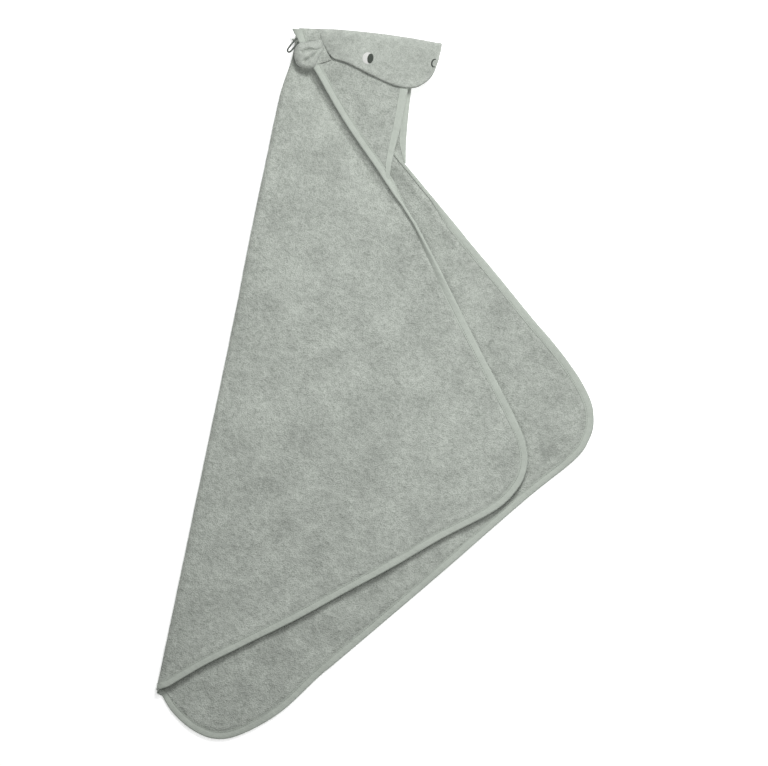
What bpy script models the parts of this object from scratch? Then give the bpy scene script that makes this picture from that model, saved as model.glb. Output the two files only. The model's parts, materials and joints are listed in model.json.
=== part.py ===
"""Hooded baby towel, folded once along its spine and laid flat, with its hood turned out.

The towel is drawn in its own frame, in metres.  The hood's tip is at (0, 0), the spine runs
down -Y, the free corners point to +X, and +Z is up.  The cloth lies in two layers, and the
hood's two sides carry on from them past the tip seams.  A face panel lies over the hood, and
its front end stands past the hood's edge as a snout.  centre_on_origin() moves the finished
towel so that the middle of its footprint is at the origin.
"""
import math

import bmesh
import bpy
import numpy as np
from mathutils import Vector

MM = 0.001

# Cloth
TERRY = 3.0 * MM              # towelling, pile to pile
FACE_CLOTH = 2.6 * MM         # face panel
EAR_CLOTH = 1.6 * MM          # each of an ear's two cloths
LINING = 1.4 * MM             # cloth behind the snout
TAPE = 0.7 * MM               # one ply of the edge tape
TAPE_WIDTH = 9.0 * MM         # edge tape as folded
HOOD_TAPE_WIDTH = 11.0 * MM   # tape on the hood's front edge
STITCHING = 0.4 * MM          # height of the embroidery
GAP = 0.3 * MM                # between cloths that touch

# Body, as it lies: angles are measured from the spine
SPINE_LENGTH = 913 * MM
NEAR_EDGE = 703 * MM          # tip to the upper layer's corner
NEAR_ANGLE = math.radians(41.15)
FAR_EDGE = 687 * MM           # tip to the lower layer's corner
FAR_ANGLE = math.radians(51.3)
FAR_SIDE = 706 * MM           # lower layer's corner to the tail corner
FAR_CORNER_ANGLE = math.radians(91.1)
CORNER_RADIUS = 76 * MM
LAYER_GAP = 7.0 * MM          # between the two layers' tapes
CREASE_END = 22 * MM          # from the spine to the crease, along the tail edge

# Hood: both sides are sewn to the body from the tip to a join
NEAR_JOIN = 244 * MM
NEAR_JOIN_ANGLE = math.radians(43.4)
FAR_JOIN = 238 * MM
FAR_JOIN_ANGLE = math.radians(51.0)
HOOD_DEPTH = 165 * MM         # tip to the front edge, along the crown
HOOD_RAMP = (-150 * MM, -60 * MM)   # stretch in Y over which the cloth climbs to the hood
RAMP_STEPS = 6
SEAM_START = 10 * MM          # from the tip to the start of the seam tapes
SPINE_START = 26 * MM         # from the tip to the start of the spine's fold
CROWN_START = 15 * MM         # from the tip to the start of the crown's fold

# Face panel and snout
CROWN_LENGTH = 200 * MM       # tip to the nose, along X
CROWN_RISE = 20.7 * MM
CROWN_BOW = 4.7 * MM
FACE_START = 36 * MM          # tip to the face seam, along X
FACE_EDGE = [
    (201 * MM, -3 * MM),
    (198 * MM, -23 * MM),
    (186 * MM, -39 * MM),
    (160 * MM, -49 * MM),
    (130 * MM, -46 * MM),
    (98 * MM, -37 * MM),
    (61 * MM, -33.5 * MM),
]
SNOUT_HEM = 2.5 * MM          # face panel past its lining
LINING_CLEARANCE = 2.0 * MM   # from the hood's front tape to the lining

# Embroidery
EYE_CENTRE = (107 * MM, -19 * MM)
EYE_SIZE = (14.6 * MM, 15.6 * MM)
PUPIL_CENTRE = (110 * MM, -18.5 * MM)
PUPIL_SIZE = (8.6 * MM, 13 * MM)
NOSTRIL_CENTRE = (194 * MM, -7 * MM)
NOSTRIL_RADIUS = 4.6 * MM
NOSTRIL_LINE = 2 * MM
NOSTRIL_SPAN = (math.radians(70), math.radians(300))

# Ears
EAR_BASE = ((41.5 * MM, -10.5 * MM), (58 * MM, -34.5 * MM))
EAR_EDGE = [
    (54 * MM, -42 * MM),
    (42 * MM, -49 * MM),
    (28 * MM, -52 * MM),
    (14 * MM, -47 * MM),
    (8.5 * MM, -36 * MM),
    (15 * MM, -23 * MM),
    (28 * MM, -13.5 * MM),
]
EAR_SWING_CLEARANCE = 0.3 * MM

# Hanging loop
LOOP_SEAT = (9 * MM, -14 * MM)
LOOP_END = (-0.5 * MM, -33 * MM)
LOOP_WIDTH = 4.4 * MM         # between the strands' middles
LOOP_CORD = 2.4 * MM

# Levels, worked out from the cloths
TAPE_HEIGHT = TERRY + 2 * (TAPE + GAP)
UPPER_LEVEL = TAPE_HEIGHT + LAYER_GAP
FOLD_RADIUS = UPPER_LEVEL / 2 + TERRY / 2
FAR_STITCHING = 0.2 * MM
FAR_FACE_LEVEL = FAR_STITCHING + 2 * (STITCHING + GAP)
HOOD_LEVEL = FAR_FACE_LEVEL + FACE_CLOTH + GAP
HOOD_MIDDLE = HOOD_LEVEL + (UPPER_LEVEL + TAPE_HEIGHT) / 2
NEAR_FACE_LEVEL = HOOD_LEVEL + UPPER_LEVEL + TAPE_HEIGHT + GAP
FACE_RADIUS = NEAR_FACE_LEVEL + FACE_CLOTH - HOOD_MIDDLE
CREASE_LEVEL = UPPER_LEVEL + TAPE_HEIGHT + 0.5 * MM
EAR_AXIS_LEVEL = NEAR_FACE_LEVEL + FACE_CLOTH + EAR_SWING_CLEARANCE
LOOP_LEVEL = NEAR_FACE_LEVEL + LOOP_CORD / 2

# Colours, as linear values
SAGE = (0.40, 0.44, 0.39)
SAGE_TAPE = (0.44, 0.48, 0.43)
SAGE_FACE = (0.43, 0.47, 0.42)
WHITE = (0.83, 0.83, 0.80)
DARK = (0.09, 0.11, 0.09)


def polar(length, angle):
    """Point at a distance from the tip, turned from the spine towards +X."""
    return Vector((length * math.sin(angle), -length * math.cos(angle)))


TIP = Vector((0, 0))
SPINE_END = Vector((0, -SPINE_LENGTH))
NEAR_CORNER = polar(NEAR_EDGE, NEAR_ANGLE)
NEAR_SEAM_END = polar(NEAR_JOIN, NEAR_JOIN_ANGLE)
FAR_CORNER = polar(FAR_EDGE, FAR_ANGLE)
FAR_SEAM_END = polar(FAR_JOIN, FAR_JOIN_ANGLE)
TAIL_CORNER = FAR_CORNER + polar(FAR_SIDE, FAR_ANGLE + FAR_CORNER_ANGLE - math.pi)
CREASE_FOOT = SPINE_END + (NEAR_CORNER - SPINE_END).normalized() * CREASE_END


def material(name, colour, roughness):
    """Cloth or thread with one colour."""
    made = bpy.data.materials.new(name)
    made.use_nodes = True
    shader = made.node_tree.nodes["Principled BSDF"]
    shader.inputs["Base Color"].default_value = (*colour, 1)
    shader.inputs["Roughness"].default_value = roughness
    shader.inputs["Metallic"].default_value = 0
    return made


# Outlines

def crown(x):
    """Height in Y of the crown's fold at x: a straight rise with a shallow bow."""
    share = x / CROWN_LENGTH
    return CROWN_RISE * share + 4 * CROWN_BOW * share * (1 - share)


def crown_path(start, end, depth, steps=8):
    """The crown's fold from start to end along X, moved inwards by depth."""
    path = [Vector((x, crown(x))) for x in np.linspace(start, end, steps + 1)]
    return [point + side * depth for point, side in zip(path, inward(path, -1))]


def inward(path, turn):
    """Mitred side direction at each point of an open path, to the left for turn = 1."""
    sides = []
    for before, after in zip(path, path[1:]):
        step = (after - before).normalized()
        sides.append(Vector((-step.y, step.x)) * turn)
    mitres = [sides[0]]
    for one, two in zip(sides, sides[1:]):
        mitres.append((one + two) / (1 + one.dot(two)))
    return mitres + [sides[-1]]


def arc(corner, before, after, radius, steps=10):
    """Points of a round corner of the given radius."""
    one = (before - corner).normalized()
    two = (after - corner).normalized()
    half = one.angle(two) / 2
    centre = corner + (one + two).normalized() * radius / math.sin(half)
    start = corner + one * radius / math.tan(half) - centre
    end = corner + two * radius / math.tan(half) - centre
    turn = start.angle_signed(end)
    return [centre + turned(start, -turn * k / steps) for k in range(steps + 1)]


def turned(vector, angle):
    """A flat vector turned anticlockwise."""
    c, s = math.cos(angle), math.sin(angle)
    return Vector((vector.x * c - vector.y * s, vector.x * s + vector.y * c))


def smooth(points, steps=4):
    """Catmull-Rom curve through an open row of points."""
    rows = [Vector(p) for p in points]
    rows = [rows[0] * 2 - rows[1]] + rows + [rows[-1] * 2 - rows[-2]]
    curve = []
    for a, b, c, d in zip(rows, rows[1:], rows[2:], rows[3:]):
        for t in np.linspace(0, 1, steps, endpoint=False):
            curve.append((b * 2 + (c - a) * t + (a * 2 - b * 5 + c * 4 - d) * t ** 2
                          + (b * 3 - a - c * 3 + d) * t ** 3) / 2)
    return curve + [rows[-2]]


def inset(edges):
    """Closed outline from (point, depth) rows; depth moves the edge after the point inwards."""
    points = [point for point, _ in edges]
    depths = [depth for _, depth in edges]
    area = sum(a.x * b.y - b.x * a.y for a, b in zip(points, points[1:] + points[:1]))
    turn = math.copysign(1, area)
    result = []
    for k, point in enumerate(points):
        before = (point - points[k - 1]).normalized()
        after = (points[(k + 1) % len(points)] - point).normalized()
        one = Vector((-before.y, before.x)) * turn
        two = Vector((-after.y, after.x)) * turn
        spread = one.x * two.y - one.y * two.x
        if abs(spread) < 1e-4:
            result.append(point + two * depths[k])
            continue
        first = one.dot(point) + depths[k - 1]
        second = two.dot(point) + depths[k]
        result.append(Vector((first * two.y - second * one.y, second * one.x - first * two.x)) / spread)
    return result


# Solids

def climb(y):
    """Height that the cloth gains towards the hood at y."""
    knots = np.linspace(HOOD_RAMP[0], HOOD_RAMP[1], RAMP_STEPS + 1)
    share = np.linspace(0, 1, RAMP_STEPS + 1)
    return float(np.interp(y, knots, HOOD_LEVEL * share ** 2 * (3 - 2 * share)))


def finish(name, shape, cloth, pivot=(0, 0, 0), follows_climb=True):
    """Raise the cloth towards the hood, close the mesh and place it about its pivot."""
    if follows_climb:
        for y in np.linspace(HOOD_RAMP[0], HOOD_RAMP[1], RAMP_STEPS + 1):
            bmesh.ops.bisect_plane(shape, geom=shape.verts[:] + shape.edges[:] + shape.faces[:],
                                   dist=0.01 * MM, plane_co=(0, y, 0), plane_no=(0, 1, 0))
        for vert in shape.verts:
            vert.co.z += climb(vert.co.y)
    bmesh.ops.recalc_face_normals(shape, faces=shape.faces)
    bmesh.ops.translate(shape, verts=shape.verts, vec=-Vector(pivot))
    mesh = bpy.data.meshes.new(name)
    shape.to_mesh(mesh)
    shape.free()
    mesh.materials.append(cloth)
    made = bpy.data.objects.new(name, mesh)
    made.location = pivot
    bpy.context.scene.collection.objects.link(made)
    return made


def slab(name, outline, bottom, height, cloth, **placing):
    """Flat cloth: a closed outline with a thickness."""
    shape = bmesh.new()
    low = [shape.verts.new((p.x, p.y, bottom)) for p in outline]
    high = [shape.verts.new((p.x, p.y, bottom + height)) for p in outline]
    shape.faces.new(low)
    shape.faces.new(high)
    for k in range(len(outline)):
        shape.faces.new((low[k - 1], low[k], high[k], high[k - 1]))
    return finish(name, shape, cloth, **placing)


def swept(name, path, turn, section, cloth, **placing):
    """A closed (depth, height) section carried along an open path, depth to its inner side."""
    shape = bmesh.new()
    rings = []
    for point, side in zip(path, inward(path, turn)):
        places = [point + side * depth for depth, _ in section]
        rings.append([shape.verts.new((p.x, p.y, z)) for p, (_, z) in zip(places, section)])
    for one, two in zip(rings, rings[1:]):
        for k in range(len(section)):
            shape.faces.new((one[k - 1], one[k], two[k], two[k - 1]))
    shape.faces.new(rings[0])
    shape.faces.new(rings[-1])
    return finish(name, shape, cloth, **placing)


def tape_section(bottom, width=TAPE_WIDTH):
    """Tape folded over an edge: a channel that is open towards the cloth."""
    top = bottom + TAPE_HEIGHT
    return [
        (0, bottom), (0, top), (width, top), (width, top - TAPE),
        (TAPE, top - TAPE), (TAPE, bottom + TAPE), (width, bottom + TAPE), (width, bottom),
    ]


def fold_section(middle, radius, thickness, steps=8):
    """Half ring that joins a lower cloth to an upper one, bulging to the outer side."""
    angles = np.linspace(-math.pi / 2, math.pi / 2, steps + 1)
    outer = [(-radius * math.cos(a), middle + radius * math.sin(a)) for a in angles]
    inner = radius - thickness
    return outer + [(-inner * math.cos(a), middle + inner * math.sin(a)) for a in angles[::-1]]


# Sub-parts

EDGE_INSET = TAPE + GAP       # cut edge of a taped cloth, from the tape's outer edge


def build_body(terry, tape):
    """The square of towelling: lower layer, fold along the spine and upper layer."""
    spine_inset = FOLD_RADIUS + GAP / 2
    far_arc = arc(FAR_CORNER, TIP, TAIL_CORNER, CORNER_RADIUS)
    tail_arc = arc(TAIL_CORNER, FAR_CORNER, SPINE_END, CORNER_RADIUS)
    lower = [(p, EDGE_INSET) for p in [TIP, FAR_SEAM_END, *far_arc, *tail_arc]]
    lower.append((SPINE_END, spine_inset))
    slab("lower_layer", inset(lower), TAPE + GAP, TERRY, terry)
    far_start = polar(SEAM_START, FAR_JOIN_ANGLE)
    far_path = [far_start, FAR_SEAM_END, *far_arc, *tail_arc]
    tail_run = (SPINE_END - tail_arc[-1])
    far_path.append(tail_arc[-1] + tail_run * (1 - TAPE_WIDTH / tail_run.length))
    swept("lower_layer_tape", far_path, -1, tape_section(0), tape)

    upper = [(TIP, EDGE_INSET), (NEAR_SEAM_END, GAP), (CREASE_FOOT, EDGE_INSET), (SPINE_END, spine_inset)]
    slab("upper_layer", inset(upper), UPPER_LEVEL + TAPE + GAP, TERRY, terry)
    near_path = [polar(SEAM_START, NEAR_JOIN_ANGLE), polar(NEAR_JOIN - 2 * MM, NEAR_JOIN_ANGLE)]
    swept("near_seam_tape", near_path, -1, tape_section(UPPER_LEVEL), tape)

    spine = [Vector((FOLD_RADIUS, -SPINE_START)), Vector((FOLD_RADIUS, TAPE_WIDTH - SPINE_LENGTH))]
    section = fold_section(UPPER_LEVEL / 2 + TAPE_HEIGHT / 2, FOLD_RADIUS, TERRY)
    swept("spine_fold", spine, 1, section, terry)


def build_flap(terry, tape):
    """The upper layer's free part, which folds back over the spine about the crease."""
    pivot = (*NEAR_SEAM_END, CREASE_LEVEL)
    near_arc = arc(NEAR_CORNER, NEAR_SEAM_END, CREASE_FOOT, CORNER_RADIUS)
    rows = [(p, EDGE_INSET) for p in [NEAR_SEAM_END, *near_arc]] + [(CREASE_FOOT, GAP)]
    slab("upper_flap", inset(rows), UPPER_LEVEL + TAPE + GAP, TERRY, terry,
         pivot=pivot, follows_climb=False)
    crease = (CREASE_FOOT - NEAR_SEAM_END).normalized()
    ends = []
    for corner, along in ((NEAR_SEAM_END, crease), (CREASE_FOOT, -crease)):
        edge = (near_arc[0] if corner == NEAR_SEAM_END else near_arc[-1]) - corner
        trim = (TAPE_WIDTH + GAP) / math.tan(edge.angle(along)) + GAP
        ends.append(corner + edge.normalized() * max(trim, GAP))
    swept("upper_flap_tape", [ends[0], *near_arc, ends[1]], -1, tape_section(UPPER_LEVEL), tape,
          pivot=pivot, follows_climb=False)


def build_hood(terry, tape):
    """The hood's two sides, the fold between them and the tape along its open edge."""
    front = Vector((HOOD_DEPTH, crown(HOOD_DEPTH)))
    sides = (
        ("far", FAR_SEAM_END, 0),
        ("near", NEAR_SEAM_END, UPPER_LEVEL),
    )
    crown_points = crown_path(0, HOOD_DEPTH, FACE_RADIUS + GAP / 2)
    for side, join, level in sides:
        seam = join.normalized()
        outward = Vector((-seam.y, seam.x))
        edge = (join - front).normalized()
        back = Vector((edge.y, -edge.x))
        start = meet(TIP + outward * GAP, seam, crown_points[0], crown_points[1] - crown_points[0])
        end = meet(front + back * EDGE_INSET, edge, TIP + outward * GAP, seam)
        top = meet(front + back * EDGE_INSET, edge, crown_points[-1], crown_points[-1] - crown_points[-2])
        middle = [p for p in crown_points if start.x + GAP < p.x < top.x - GAP]
        slab(f"hood_side_{side}", [start, *middle, top, end], level + TAPE + GAP, TERRY, terry)
        trim = HOOD_TAPE_WIDTH / math.tan(edge.angle(seam)) + GAP
        run = [top - back * EDGE_INSET, join - edge * trim]
        swept(f"hood_front_tape_{side}", run, -1, tape_section(level, HOOD_TAPE_WIDTH), tape)
    fold = crown_path(CROWN_START, HOOD_DEPTH, FACE_RADIUS)
    swept("hood_crown", fold, -1, fold_section(HOOD_MIDDLE, FOLD_RADIUS, TERRY), terry, follows_climb=False)


def meet(point, along, other, across):
    """Where the line through point meets the line through other."""
    gap = other - point
    share = (gap.x * across.y - gap.y * across.x) / (along.x * across.y - along.y * across.x)
    return point + along * share


def mirrored(bottom, height, side):
    """Bottom of a hood piece on the near side, or of its twin under the far side."""
    return bottom if side == "near" else 2 * HOOD_MIDDLE - bottom - height


def build_face(cloth, lining):
    """The face panel's two halves, the fold between them and the snout's lining."""
    top = crown_path(FACE_START, CROWN_LENGTH, FACE_RADIUS + GAP / 2)
    edge = [p for p in smooth(FACE_EDGE) if p.y < top[-1].y]
    outline = [*top, *edge]
    front = Vector((HOOD_DEPTH, crown(HOOD_DEPTH)))
    for side, join in (("near", NEAR_SEAM_END), ("far", FAR_SEAM_END)):
        slab(f"face_panel_{side}", outline, mirrored(NEAR_FACE_LEVEL, FACE_CLOTH, side), FACE_CLOTH,
             cloth, follows_climb=False)
        along = (join - front).normalized()
        clear = front + Vector((-along.y, along.x)) * LINING_CLEARANCE
        level_edge = Vector((1, 0))
        head = meet(clear, along, top[-1], level_edge)
        ahead = [p for p in outline if p.x > meet(clear, along, p, level_edge).x + SNOUT_HEM]
        foot = meet(clear, along, min(ahead, key=lambda p: p.y), level_edge)
        rows = inset([(head, SNOUT_HEM), *((p, SNOUT_HEM) for p in ahead), (foot, 0)])
        level = NEAR_FACE_LEVEL - GAP - LINING
        slab(f"snout_lining_{side}", rows, mirrored(level, LINING, side), LINING, lining,
             follows_climb=False)
    fold = crown_path(FACE_START, CROWN_LENGTH, FACE_RADIUS)
    swept("face_crown", fold, -1, fold_section(HOOD_MIDDLE, FACE_RADIUS, FACE_CLOTH), cloth,
          follows_climb=False)


def ellipse(centre, size, steps=24):
    """Closed round outline."""
    angles = np.linspace(0, 2 * math.pi, steps, endpoint=False)
    return [Vector(centre) + Vector((size[0] * math.cos(a), size[1] * math.sin(a))) / 2 for a in angles]


def build_embroidery(white, dark):
    """Eyes with their pupils and the nostrils, on both sides of the face."""
    first = NEAR_FACE_LEVEL + FACE_CLOTH + GAP
    second = first + STITCHING + GAP
    angles = np.linspace(*NOSTRIL_SPAN, 13)
    arcs = [[Vector(NOSTRIL_CENTRE) + Vector((math.cos(a), math.sin(a))) * radius for a in row]
            for radius, row in ((NOSTRIL_RADIUS, angles), (NOSTRIL_RADIUS - NOSTRIL_LINE, angles[::-1]))]
    for side in ("near", "far"):
        for name, outline, level, thread in (
            ("eye_white", ellipse(EYE_CENTRE, EYE_SIZE), first, white),
            ("eye_pupil", ellipse(PUPIL_CENTRE, PUPIL_SIZE), second, dark),
            ("nostril", arcs[0] + arcs[1], first, dark),
        ):
            slab(f"{name}_{side}", outline, mirrored(level, STITCHING, side), STITCHING, thread,
                 follows_climb=False)


def build_ears(outer, inner):
    """Two ears, each of an outer and an inner cloth, hinged on the seam behind the face."""
    base = [Vector(p) for p in EAR_BASE]
    outline = smooth([EAR_BASE[1], *EAR_EDGE, EAR_BASE[0]], steps=3)
    for side in ("near", "far"):
        height = mirrored(EAR_AXIS_LEVEL, 0, side)
        for name, level, cloth in (
            ("ear_outer", NEAR_FACE_LEVEL, outer),
            ("ear_inner", NEAR_FACE_LEVEL + EAR_CLOTH + GAP, inner),
        ):
            slab(f"{name}_{side}", outline, mirrored(level, EAR_CLOTH, side), EAR_CLOTH, cloth,
                 pivot=(*base[0], height), follows_climb=False)


def build_loop(cord):
    """The hanging loop: a hairpin of cord with both ends sewn in at the tip."""
    seat = Vector(LOOP_SEAT)
    along = (Vector(LOOP_END) - seat).normalized()
    side = Vector((-along.y, along.x)) * LOOP_WIDTH / 2
    reach = (Vector(LOOP_END) - seat).length - LOOP_WIDTH / 2
    bend = [along * reach + turned(side, -math.pi * k / 8) for k in range(9)]
    route = [side, *bend, -side]
    curve = bpy.data.curves.new("hanging_loop", "CURVE")
    curve.dimensions = "3D"
    curve.bevel_depth = LOOP_CORD / 2
    curve.bevel_resolution = 2
    curve.use_fill_caps = True
    spline = curve.splines.new("POLY")
    spline.points.add(len(route) - 1)
    for point, place in zip(spline.points, route):
        point.co = (*place, 0, 1)
    curve.materials.append(cord)
    made = bpy.data.objects.new("hanging_loop", curve)
    made.location = (*seat, LOOP_LEVEL)
    bpy.context.scene.collection.objects.link(made)


def centre_on_origin():
    """Move the whole towel so that its footprint is centred on the origin."""
    bpy.context.view_layer.update()
    corners = [made.matrix_world @ Vector(c) for made in bpy.data.objects for c in made.bound_box]
    low = [min(c[k] for c in corners) for k in range(3)]
    high = [max(c[k] for c in corners) for k in range(3)]
    for made in bpy.data.objects:
        made.location -= Vector(((low[0] + high[0]) / 2, (low[1] + high[1]) / 2, low[2]))


def main():
    for old in list(bpy.data.objects):
        bpy.data.objects.remove(old, do_unlink=True)
    terry = material("cotton terry", SAGE, 0.95)
    tape = material("woven edge tape", SAGE_TAPE, 0.8)
    face = material("cotton velour terry", SAGE_FACE, 0.95)
    lining = material("cotton lining", SAGE_TAPE, 0.85)
    white = material("white embroidery thread", WHITE, 0.6)
    dark = material("dark embroidery thread", DARK, 0.6)
    build_body(terry, tape)
    build_flap(terry, tape)
    build_hood(terry, tape)
    build_face(face, lining)
    build_embroidery(white, dark)
    build_ears(face, lining)
    build_loop(dark)
    centre_on_origin()


main()
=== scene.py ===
"""Hooded baby towel, folded once along its spine and laid flat, with its hood turned out.

Shapes are worked out in millimetres in the towel's own frame: the hood's tip is at (0, 0), the
spine runs down -Y, the free corners point to +X and +Z is up.  placed() turns that into metres
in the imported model's frame.  Cloth is first drawn developed, as it is when the fold is opened:
s is the distance from the fold's outermost line, and height is measured off the cloth's middle.
"""

import json
import math

import bpy
import numpy as np
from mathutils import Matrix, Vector


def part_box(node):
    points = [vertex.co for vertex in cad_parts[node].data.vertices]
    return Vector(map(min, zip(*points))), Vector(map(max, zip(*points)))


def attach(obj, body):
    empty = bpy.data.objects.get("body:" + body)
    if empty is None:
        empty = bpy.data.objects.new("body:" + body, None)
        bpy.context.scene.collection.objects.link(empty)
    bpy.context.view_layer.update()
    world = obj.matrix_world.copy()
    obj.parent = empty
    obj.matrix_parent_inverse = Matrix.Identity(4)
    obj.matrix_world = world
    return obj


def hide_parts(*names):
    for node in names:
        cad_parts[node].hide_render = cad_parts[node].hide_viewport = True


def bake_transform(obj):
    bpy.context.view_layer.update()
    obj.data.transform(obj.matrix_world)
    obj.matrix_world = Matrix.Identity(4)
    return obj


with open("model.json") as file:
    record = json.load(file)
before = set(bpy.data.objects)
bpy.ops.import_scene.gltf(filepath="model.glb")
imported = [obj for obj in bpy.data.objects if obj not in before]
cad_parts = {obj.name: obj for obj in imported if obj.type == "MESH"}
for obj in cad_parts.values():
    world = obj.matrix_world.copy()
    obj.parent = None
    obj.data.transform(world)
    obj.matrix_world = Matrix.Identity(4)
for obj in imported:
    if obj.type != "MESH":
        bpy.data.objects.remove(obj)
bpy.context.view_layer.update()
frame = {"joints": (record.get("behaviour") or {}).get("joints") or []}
JOINTS = {joint["name"]: joint for joint in frame["joints"]}

MM = 0.001

# Cloth thicknesses
TERRY = 3.0
FACE_CLOTH = 2.8
HEM = 3.6                     # face cloth turned under
EAR_CLOTH = 1.5
LINING = 1.0
TAPE = 0.7
TAPE_WIDTH = 10.6
TAPE_HEIGHT = 4.2
HOOD_TAPE_WIDTH = 11.0

PRESSED = 0.25                # share of its swell left where a side lies on the ground

# Stitches
STITCH_PITCH = 3.0
STITCH_LENGTH = 2.3
STITCH_RADIUS = 0.38

# Folds: middle of the cloth
SPINE_RADIUS = 6.0
SPINE_CENTRE = (7.5, 8.5)     # in X and Z
SPINE_BOW = 1.8               # drift of the fold from a straight line
TIP_PULL = 4.4                # how far the seam draws the body in at the tip
CROWN_DEPTH = 11.4            # from the crown's outermost line to the folds' common axis
CROWN_LEVEL = 13.0
HOOD_RADIUS = 6.0
FACE_RADIUS = 10.1
SPLIT_ANGLE = math.radians(-50)   # where the lower cloth takes over, round the spine's fold

# Outlines
SPINE_START = 26.0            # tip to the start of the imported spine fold
BODY_START = -12.0
SEAM_ANGLE = math.radians(43.4)
SEAM_LENGTH = 244.0
FAR_SEAM_ANGLE = math.radians(51.0)
FAR_SEAM_LENGTH = 238.0
CROWN_LENGTH = 201.0
CROWN_RISE = 19.8
CROWN_BOW = 4.7
HOOD_START = 8.0
HOOD_DEPTH = 166.0            # tip to front edge, along the crown

# Middle of the upper tape: along the hood's seam, past the join, round the near corner to the tail
NEAR_TAPE = [
    (8.2, -0.9), (12.2, -9.3), (19, -19.5), (43.4, -47.4), (96, -106.0), (144, -152.5), (166.5, -175),
    (180.5, -190), (207, -218.9), (274.3, -304.4), (334.5, -380.3), (396, -456), (420.8, -495.1),
    (424.8, -527.5), (413, -558), (391.1, -584.4), (334.4, -630.8), (278.5, -681.3), (222.1, -729),
    (166, -777.2), (108.7, -822), (51.8, -867.1), (12, -902),
]
# Outer edge of the lower tape, from the join round both far corners to the tail
FAR_EDGE = [
    (206.7, -166.4), (289.6, -232), (399.3, -319.8), (454.2, -363.6), (493, -405), (506.2, -435.7),
    (505.2, -463.5), (491.5, -494.5), (437.2, -561.1), (337.5, -692.7), (236, -823.5), (214.5, -850.5),
    (172, -910), (125, -951), (90, -963.5), (56, -956), (25, -937.5), (8, -920),
]
# Open edge of the hood on each side, from the crown down
HOOD_FRONT_NEAR = [
    (163, 12), (167, -25), (168.6, -52), (169.0, -100), (167.8, -130), (167.6, -155), (168.6, -173),
]
HOOD_FRONT_FAR = [(164, 12), (170.5, -30), (174, -62), (176.8, -90), (181, -122), (186, -148)]
# Free edge of the face panel, from the nose to the seam behind the face
FACE_EDGE = [
    (201, -1.5), (196.6, -24.6), (184, -41.2), (168, -48.3), (146, -48.6), (114, -41.4), (85, -33.5),
    (62, -30.6),
]
FACE_SEAM = [(35.5, 6.5), (38.9, -5), (45.5, -15.6), (54.1, -25.4), (62, -30.6)]


def polar(length, angle):
    """Point at a distance from the tip, turned from the spine towards +X."""
    return np.array([length * math.sin(angle), -length * math.cos(angle)])


JOIN = polar(SEAM_LENGTH, SEAM_ANGLE)
TIP = np.array([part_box("spine_fold")[0].x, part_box("spine_fold")[1].y + SPINE_START * MM, 0])


# Points, fields and curves

def placed(points):
    """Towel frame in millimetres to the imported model's frame in metres."""
    return np.asarray(points, float) * MM + TIP


def step(value, start, end):
    """Smooth rise from 0 at start to 1 at end."""
    share = np.clip((np.asarray(value, float) - start) / (end - start), 0, 1)
    return share * share * (3 - 2 * share)


def bell(value, middle, width):
    """Gaussian bump of height 1."""
    return np.exp(-((np.asarray(value, float) - middle) / width) ** 2)


def clouds(x, y, size, seed):
    """Random field from -1 to 1: random values at the corners of squares, joined smoothly between."""
    table = np.random.default_rng(seed).uniform(-1, 1, (128, 128))
    column, row = np.asarray(x) / size, np.asarray(y) / size
    i, j = np.floor(column).astype(int), np.floor(row).astype(int)
    u, v = step(column - i, 0, 1), step(row - j, 0, 1)
    low = table[i % 128, j % 128] * (1 - u) + table[(i + 1) % 128, j % 128] * u
    high = table[i % 128, (j + 1) % 128] * (1 - u) + table[(i + 1) % 128, (j + 1) % 128] * u
    return low * (1 - v) + high * v


def curve_through(points, count, corners=False):
    """Evenly spaced points along a Catmull-Rom curve, or along straight lines between corners."""
    rows = np.asarray(points, float)
    if not corners:
        ends = np.vstack([2 * rows[0] - rows[1], rows, 2 * rows[-1] - rows[-2]])
        a, b, c, d = (ends[k:len(ends) - 3 + k, None] for k in range(4))
        t = np.linspace(0, 1, 24, endpoint=False)[None, :, None]
        curve = (b * 2 + (c - a) * t + (a * 2 - b * 5 + c * 4 - d) * t ** 2
                 + (b * 3 - a - c * 3 + d) * t ** 3) / 2
        rows = np.vstack([curve.reshape(-1, rows.shape[1]), rows[-1]])
    along = np.concatenate([[0], np.cumsum(np.linalg.norm(np.diff(rows, axis=0), axis=1))])
    at = np.linspace(0, along[-1], count)
    return np.stack([np.interp(at, along, rows[:, k]) for k in range(rows.shape[1])], axis=1)


def lengths(path):
    """Distance along a path at each of its points."""
    return np.concatenate([[0], np.cumsum(np.linalg.norm(np.diff(path, axis=0), axis=1))])


def unit(vectors):
    """Vectors of length 1."""
    return vectors / np.maximum(np.linalg.norm(vectors, axis=-1, keepdims=True), 1e-9)


def side_of(path, turn):
    """Flat direction square to a path at each point, to its left for turn = 1."""
    tangent = unit(np.gradient(path, axis=0))
    return np.stack([-tangent[:, 1], tangent[:, 0]], axis=1) * turn


def crown(x):
    """Height in Y of the crown's fold at x: a straight rise with a shallow bow."""
    share = np.asarray(x) / CROWN_LENGTH
    return CROWN_RISE * share + 4 * CROWN_BOW * share * (1 - share)


def spread_from(depth, axis_depth, radius):
    """Developed distance from a fold's outermost line, for a flat depth below it."""
    turn = np.arccos(np.clip((axis_depth - depth) / radius, -1, 1))
    return np.where(depth < axis_depth, radius * turn, radius * math.pi / 2 + depth - axis_depth)


def rolled(s, height, axis_depth, radius):
    """Depth and rise of a cloth round a fold: a quarter circle from its outermost line, then flat."""
    turn = np.minimum(s / radius, math.pi / 2)
    flat = np.maximum(s - radius * math.pi / 2, 0)
    return axis_depth - (radius + height) * np.cos(turn) + flat, (radius + height) * np.sin(turn)


# Meshes

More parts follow.
